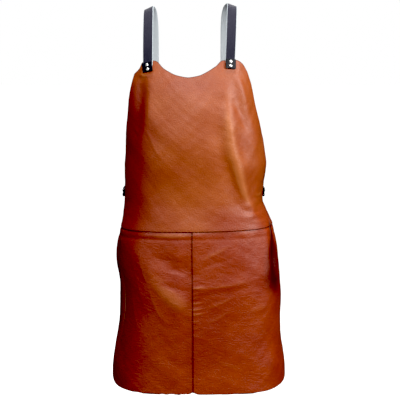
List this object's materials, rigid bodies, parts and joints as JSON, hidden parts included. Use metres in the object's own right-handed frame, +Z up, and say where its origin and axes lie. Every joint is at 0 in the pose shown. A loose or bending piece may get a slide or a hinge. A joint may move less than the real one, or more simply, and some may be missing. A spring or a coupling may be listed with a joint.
{
  "type": "leather bib apron",
  "caption": "Worn brown leather work apron with a one-piece bib, a two-panel skirt, dark webbing shoulder straps, black leather tabs, rivets and a webbing waist belt",
  "frame": {"origin": "midway between the two shoulder straps, level with the underside of their crowns, where the shoulders carry the apron", "axes": "+Z up, from the hem to the straps; the front of the bib faces -Y; +X is the viewer's right seen from the front"},
  "size_m": [0.4599, 0.2391, 0.9973],
  "materials": {
    "bib_leather": "pebbled, waxed, semi-gloss",
    "skirt_leather": "smooth, waxed, semi-gloss",
    "webbing": "woven, dark face and pale grey back",
    "black_leather": "matt",
    "rivet_steel": "polished dome",
    "black_metal": "satin black",
    "black_plastic": "matt"
  },
  "bodies": {
    "root": {"bib_panel": "bib_leather", "skirt_left": "skirt_leather", "skirt_right": "skirt_leather", "shoulder_strap_left": "webbing", "shoulder_strap_right": "webbing", "strap_tab_left": "black_leather", "strap_tab_right": "black_leather", "tab_rivet_left_upper": "rivet_steel", "tab_rivet_left_lower": "rivet_steel", "tab_rivet_right_upper": "rivet_steel", "tab_rivet_right_lower": "rivet_steel", "side_tab_left": "black_leather", "side_tab_right": "black_leather", "side_rivet_left_upper": "rivet_steel", "side_rivet_left_lower": "rivet_steel", "side_rivet_right_upper": "rivet_steel", "side_rivet_right_lower": "rivet_steel", "ring_left": "black_metal", "ring_right": "black_metal", "belt_left": "webbing", "belt_right": "webbing", "belt_buckle": "black_plastic", "loop_rivet_left": "rivet_steel", "loop_rivet_right": "rivet_steel"}
  },
  "joints": []
}
